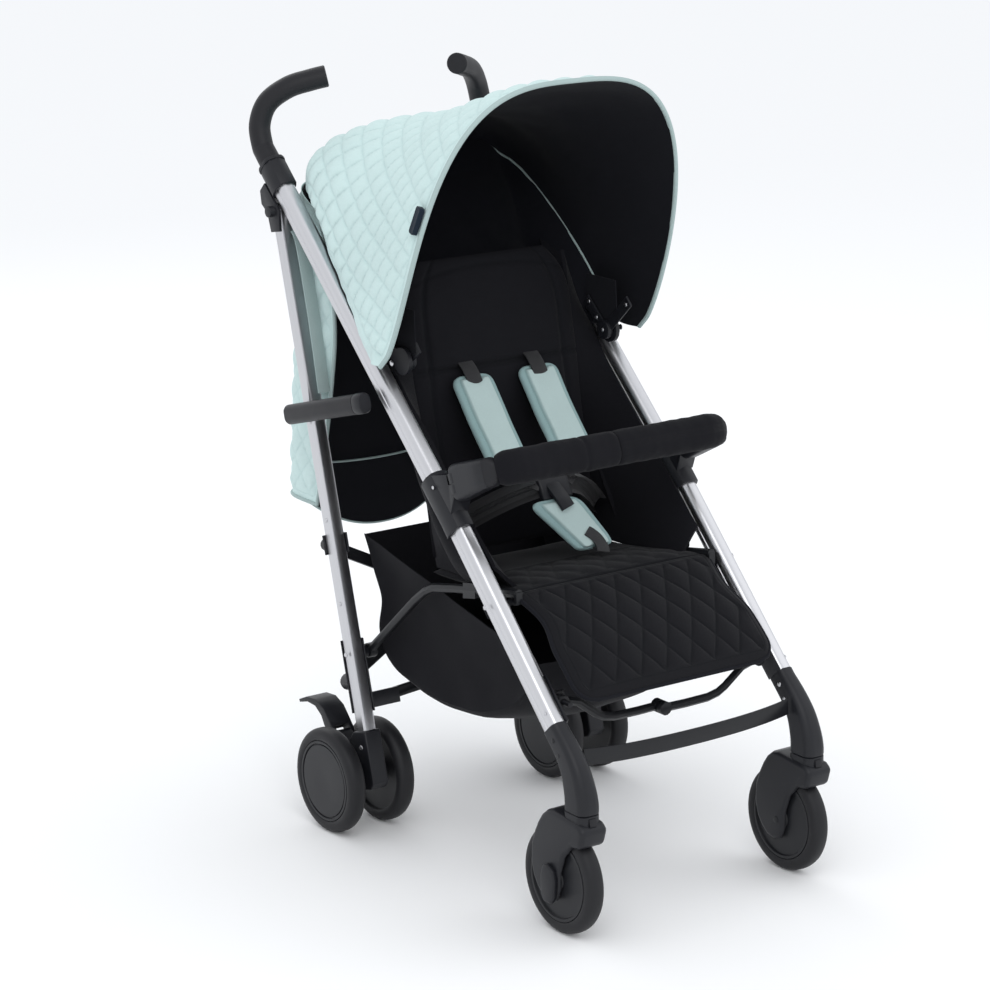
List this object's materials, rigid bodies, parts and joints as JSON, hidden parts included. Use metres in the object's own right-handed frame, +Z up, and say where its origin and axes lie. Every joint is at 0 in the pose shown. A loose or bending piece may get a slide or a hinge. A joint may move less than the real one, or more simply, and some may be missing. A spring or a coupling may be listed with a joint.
{
  "type": "pushchair",
  "caption": "Umbrella-folding pushchair with a quilted hood, padded harness seat, bumper bar, under-seat basket, swivelling front wheels and twin rear wheels.",
  "frame": {"origin": "on the floor under the middle of the bounding box", "axes": "+Z up, -Y the way the child faces, +X the child's left"},
  "size_m": [0.496, 0.8068, 1.0825],
  "materials": {
    "aluminium": "satin, polished front",
    "plastic": "fine moulded grain",
    "grip": "soft matt",
    "rubber": "satin",
    "steel": "black powder coat",
    "black_cloth": "woven, matt",
    "mint_cloth": "woven, quilted in diamonds"
  },
  "bodies": {
    "pushchair": {"seat_pad": "black_cloth", "crotch_pad": "mint_cloth", "harness_buckle": "plastic", "rear_flap": "mint_cloth", "basket": "black_cloth", "left_recline_strap": "mint_cloth", "right_recline_strap": "mint_cloth", "foot_strap": "rubber"},
    "left_side": {"left_upper_tube": "aluminium", "left_lower_tube": "aluminium", "left_handle_bracket": "plastic", "left_handle_grip": "grip", "left_bumper_bracket": "plastic", "left_canopy_hinge": "plastic", "left_link_clamp": "plastic", "left_lower_leg": "plastic"},
    "left_caster": {"left_fork": "plastic"},
    "left_front_wheel": {"left_front_wheel": "rubber"},
    "left_swivel_lock": {"left_swivel_lock": "grip"},
    "left_leg": {"left_rear_leg": "aluminium", "left_axle_housing": "plastic", "left_leg_bracket": "plastic"},
    "left_rear_wheel_outer": {"left_rear_wheel_outer": "rubber"},
    "left_rear_wheel_inner": {"left_rear_wheel_inner": "rubber"},
    "left_brake": {"left_brake_pedal": "plastic"},
    "left_link": {"left_side_link": "steel"},
    "left_slider": {"left_cross_slider": "plastic"},
    "left_cross": {"left_cross_bar": "steel"},
    "left_rear_brace": {"left_rear_brace": "steel"},
    "left_front_brace": {"left_front_brace": "steel"},
    "left_bumper": {"left_bumper_bar": "black_cloth"},
    "right_side": {"right_upper_tube": "aluminium", "right_lower_tube": "aluminium", "right_handle_bracket": "plastic", "right_handle_grip": "grip", "right_bumper_bracket": "plastic", "right_canopy_hinge": "plastic", "right_link_clamp": "plastic", "right_lower_leg": "plastic"},
    "right_caster": {"right_fork": "plastic"},
    "right_front_wheel": {"right_front_wheel": "rubber"},
    "right_swivel_lock": {"right_swivel_lock": "grip"},
    "right_leg": {"right_rear_leg": "aluminium", "right_axle_housing": "plastic", "right_leg_bracket": "plastic", "right_carry_handle": "grip"},
    "right_rear_wheel_outer": {"right_rear_wheel_outer": "rubber"},
    "right_rear_wheel_inner": {"right_rear_wheel_inner": "rubber"},
    "right_brake": {"right_brake_pedal": "plastic"},
    "right_link": {"right_side_link": "steel"},
    "right_slider": {"right_cross_slider": "plastic"},
    "right_cross": {"right_cross_bar": "steel"},
    "right_rear_brace": {"right_rear_brace": "steel"},
    "right_front_brace": {"right_front_brace": "steel"},
    "right_bumper": {"right_bumper_bar": "black_cloth"},
    "backrest": {"backrest": "black_cloth", "left_shoulder_pad": "mint_cloth", "right_shoulder_pad": "mint_cloth"},
    "calf_rest": {"calf_rest": "black_cloth"},
    "canopy": {"canopy": "mint_cloth"}
  },
  "joints": [
    {"name": "left_fold", "type": "slide", "parent": "pushchair", "child": "left_side", "axis": [-1, 0, 0], "range_m": [0, 0.075], "deforming": ["seat_pad", "backrest", "calf_rest", "left_shoulder_pad", "right_shoulder_pad", "crotch_pad", "canopy", "rear_flap", "basket", "left_recline_strap", "right_recline_strap", "foot_strap"]},
    {"name": "left_leg_fold", "type": "hinge", "parent": "left_side", "child": "left_leg", "pos_m": [0.193, 0.33431, 0.86339], "axis": [-1, 0, 0], "range_deg": [0, 26]},
    {"name": "left_link_fold", "type": "hinge", "parent": "left_leg", "child": "left_link", "pos_m": [0.165, 0.16223, 0.25527], "axis": [-1, 0, 0], "range_deg": [0, 73]},
    {"name": "left_cross_turn", "type": "hinge", "parent": "left_leg", "child": "left_cross", "pos_m": [0.193, 0.15134, 0.21678], "axis": [0, 0.9622, -0.2723], "range_deg": [0, 29.97]},
    {"name": "left_slider_rise", "type": "slide", "parent": "left_leg", "child": "left_slider", "axis": [0, 0.2723, 0.9622], "range_m": [0, 0.16647]},
    {"name": "left_rear_brace_turn", "type": "hinge", "parent": "left_leg", "child": "left_rear_brace", "pos_m": [0.146, 0.14371, 0.18984], "axis": [0, 0.9622, -0.2723], "range_deg": [0, 56.31]},
    {"name": "left_front_brace_turn", "type": "hinge", "parent": "left_side", "child": "left_front_brace", "pos_m": [0.163, -0.2948, 0.299], "axis": [0, -1, 0], "range_deg": [0, 45.16]},
    {"name": "left_bumper_turn", "type": "hinge", "parent": "left_side", "child": "left_bumper", "pos_m": [0.193, -0.1003, 0.562], "axis": [0, 0.3843, 0.9232], "range_deg": [0, 32.29]},
    {"name": "left_caster_swivel", "type": "hinge", "parent": "left_side", "child": "left_caster", "pos_m": [0.193, -0.3663, 0.178], "axis": [0, 0, 1], "continuous": true},
    {"name": "left_front_wheel_roll", "type": "hinge", "parent": "left_caster", "child": "left_front_wheel", "pos_m": [0.193, -0.3298, 0.0745], "axis": [1, 0, 0], "continuous": true},
    {"name": "left_swivel_lock_slide", "type": "slide", "parent": "left_caster", "child": "left_swivel_lock", "axis": [0, -0.1713, -0.9852], "range_m": [0, 0.004]},
    {"name": "left_rear_outer_roll", "type": "hinge", "parent": "left_leg", "child": "left_rear_wheel_outer", "pos_m": [0.193, 0.1622, 0.0755], "axis": [1, 0, 0], "continuous": true},
    {"name": "left_rear_inner_roll", "type": "hinge", "parent": "left_leg", "child": "left_rear_wheel_inner", "pos_m": [0.193, 0.1622, 0.0755], "axis": [1, 0, 0], "continuous": true},
    {"name": "left_brake_press", "type": "hinge", "parent": "left_leg", "child": "left_brake", "pos_m": [0.193, 0.1952, 0.1235], "axis": [-1, 0, 0], "range_deg": [0, 18]},
    {"name": "right_fold", "type": "slide", "parent": "pushchair", "child": "right_side", "axis": [1, 0, 0], "range_m": [0, 0.075]},
    {"name": "right_leg_fold", "type": "hinge", "parent": "right_side", "child": "right_leg", "pos_m": [-0.193, 0.33431, 0.86339], "axis": [-1, 0, 0], "range_deg": [0, 26]},
    {"name": "right_link_fold", "type": "hinge", "parent": "right_leg", "child": "right_link", "pos_m": [-0.165, 0.16223, 0.25527], "axis": [-1, 0, 0], "range_deg": [0, 73]},
    {"name": "right_cross_turn", "type": "hinge", "parent": "right_leg", "child": "right_cross", "pos_m": [-0.193, 0.15134, 0.21678], "axis": [0, -0.9622, 0.2723], "range_deg": [0, 29.97]},
    {"name": "right_slider_rise", "type": "slide", "parent": "right_leg", "child": "right_slider", "axis": [0, 0.2723, 0.9622], "range_m": [0, 0.16647]},
    {"name": "right_rear_brace_turn", "type": "hinge", "parent": "right_leg", "child": "right_rear_brace", "pos_m": [-0.146, 0.14371, 0.18984], "axis": [0, -0.9622, 0.2723], "range_deg": [0, 56.31]},
    {"name": "right_front_brace_turn", "type": "hinge", "parent": "right_side", "child": "right_front_brace", "pos_m": [-0.163, -0.2823, 0.299], "axis": [0, 1, 0], "range_deg": [0, 45.16]},
    {"name": "right_bumper_turn", "type": "hinge", "parent": "right_side", "child": "right_bumper", "pos_m": [-0.193, -0.1003, 0.562], "axis": [0, -0.3843, -0.9232], "range_deg": [0, 32.29]},
    {"name": "right_caster_swivel", "type": "hinge", "parent": "right_side", "child": "right_caster", "pos_m": [-0.193, -0.3663, 0.178], "axis": [0, 0, 1], "continuous": true},
    {"name": "right_front_wheel_roll", "type": "hinge", "parent": "right_caster", "child": "right_front_wheel", "pos_m": [-0.193, -0.3298, 0.0745], "axis": [1, 0, 0], "continuous": true},
    {"name": "right_swivel_lock_slide", "type": "slide", "parent": "right_caster", "child": "right_swivel_lock", "axis": [0, -0.1713, -0.9852], "range_m": [0, 0.004]},
    {"name": "right_rear_outer_roll", "type": "hinge", "parent": "right_leg", "child": "right_rear_wheel_outer", "pos_m": [-0.193, 0.1622, 0.0755], "axis": [1, 0, 0], "continuous": true},
    {"name": "right_rear_inner_roll", "type": "hinge", "parent": "right_leg", "child": "right_rear_wheel_inner", "pos_m": [-0.193, 0.1622, 0.0755], "axis": [1, 0, 0], "continuous": true},
    {"name": "right_brake_press", "type": "hinge", "parent": "right_leg", "child": "right_brake", "pos_m": [-0.193, 0.1952, 0.1235], "axis": [-1, 0, 0], "range_deg": [0, 18]},
    {"name": "backrest_recline", "type": "hinge", "parent": "pushchair", "child": "backrest", "pos_m": [0, 0.0417, 0.412], "axis": [-1, 0, 0], "range_deg": [0, 30]},
    {"name": "calf_rest_tilt", "type": "hinge", "parent": "pushchair", "child": "calf_rest", "pos_m": [0, -0.1783, 0.41], "axis": [1, 0, 0], "range_deg": [0, 45]},
    {"name": "canopy_fold", "type": "hinge", "parent": "pushchair", "child": "canopy", "pos_m": [0, 0.0567, 0.695], "axis": [-1, 0, 0], "range_deg": [0, 65]}
  ],
  "couplings": [
    {"joint": "left_leg_fold", "follows": "left_fold", "rad_per_m": 6.0505},
    {"joint": "left_link_fold", "follows": "left_fold", "rad_per_m": 16.988},
    {"joint": "left_cross_turn", "follows": "left_fold", "rad_per_m": 6.9734},
    {"joint": "left_slider_rise", "follows": "left_fold", "ratio": 2.2196},
    {"joint": "left_rear_brace_turn", "follows": "left_fold", "rad_per_m": 13.104},
    {"joint": "left_front_brace_turn", "follows": "left_fold", "rad_per_m": 10.508},
    {"joint": "left_bumper_turn", "follows": "left_fold", "rad_per_m": 7.5152},
    {"joint": "right_fold", "follows": "left_fold", "ratio": 1},
    {"joint": "right_leg_fold", "follows": "left_fold", "rad_per_m": 6.0505},
    {"joint": "right_link_fold", "follows": "left_fold", "rad_per_m": 16.988},
    {"joint": "right_cross_turn", "follows": "left_fold", "rad_per_m": 6.9734},
    {"joint": "right_slider_rise", "follows": "left_fold", "ratio": 2.2196},
    {"joint": "right_rear_brace_turn", "follows": "left_fold", "rad_per_m": 13.104},
    {"joint": "right_front_brace_turn", "follows": "left_fold", "rad_per_m": 10.508},
    {"joint": "right_bumper_turn", "follows": "left_fold", "rad_per_m": 7.5152}
  ]
}
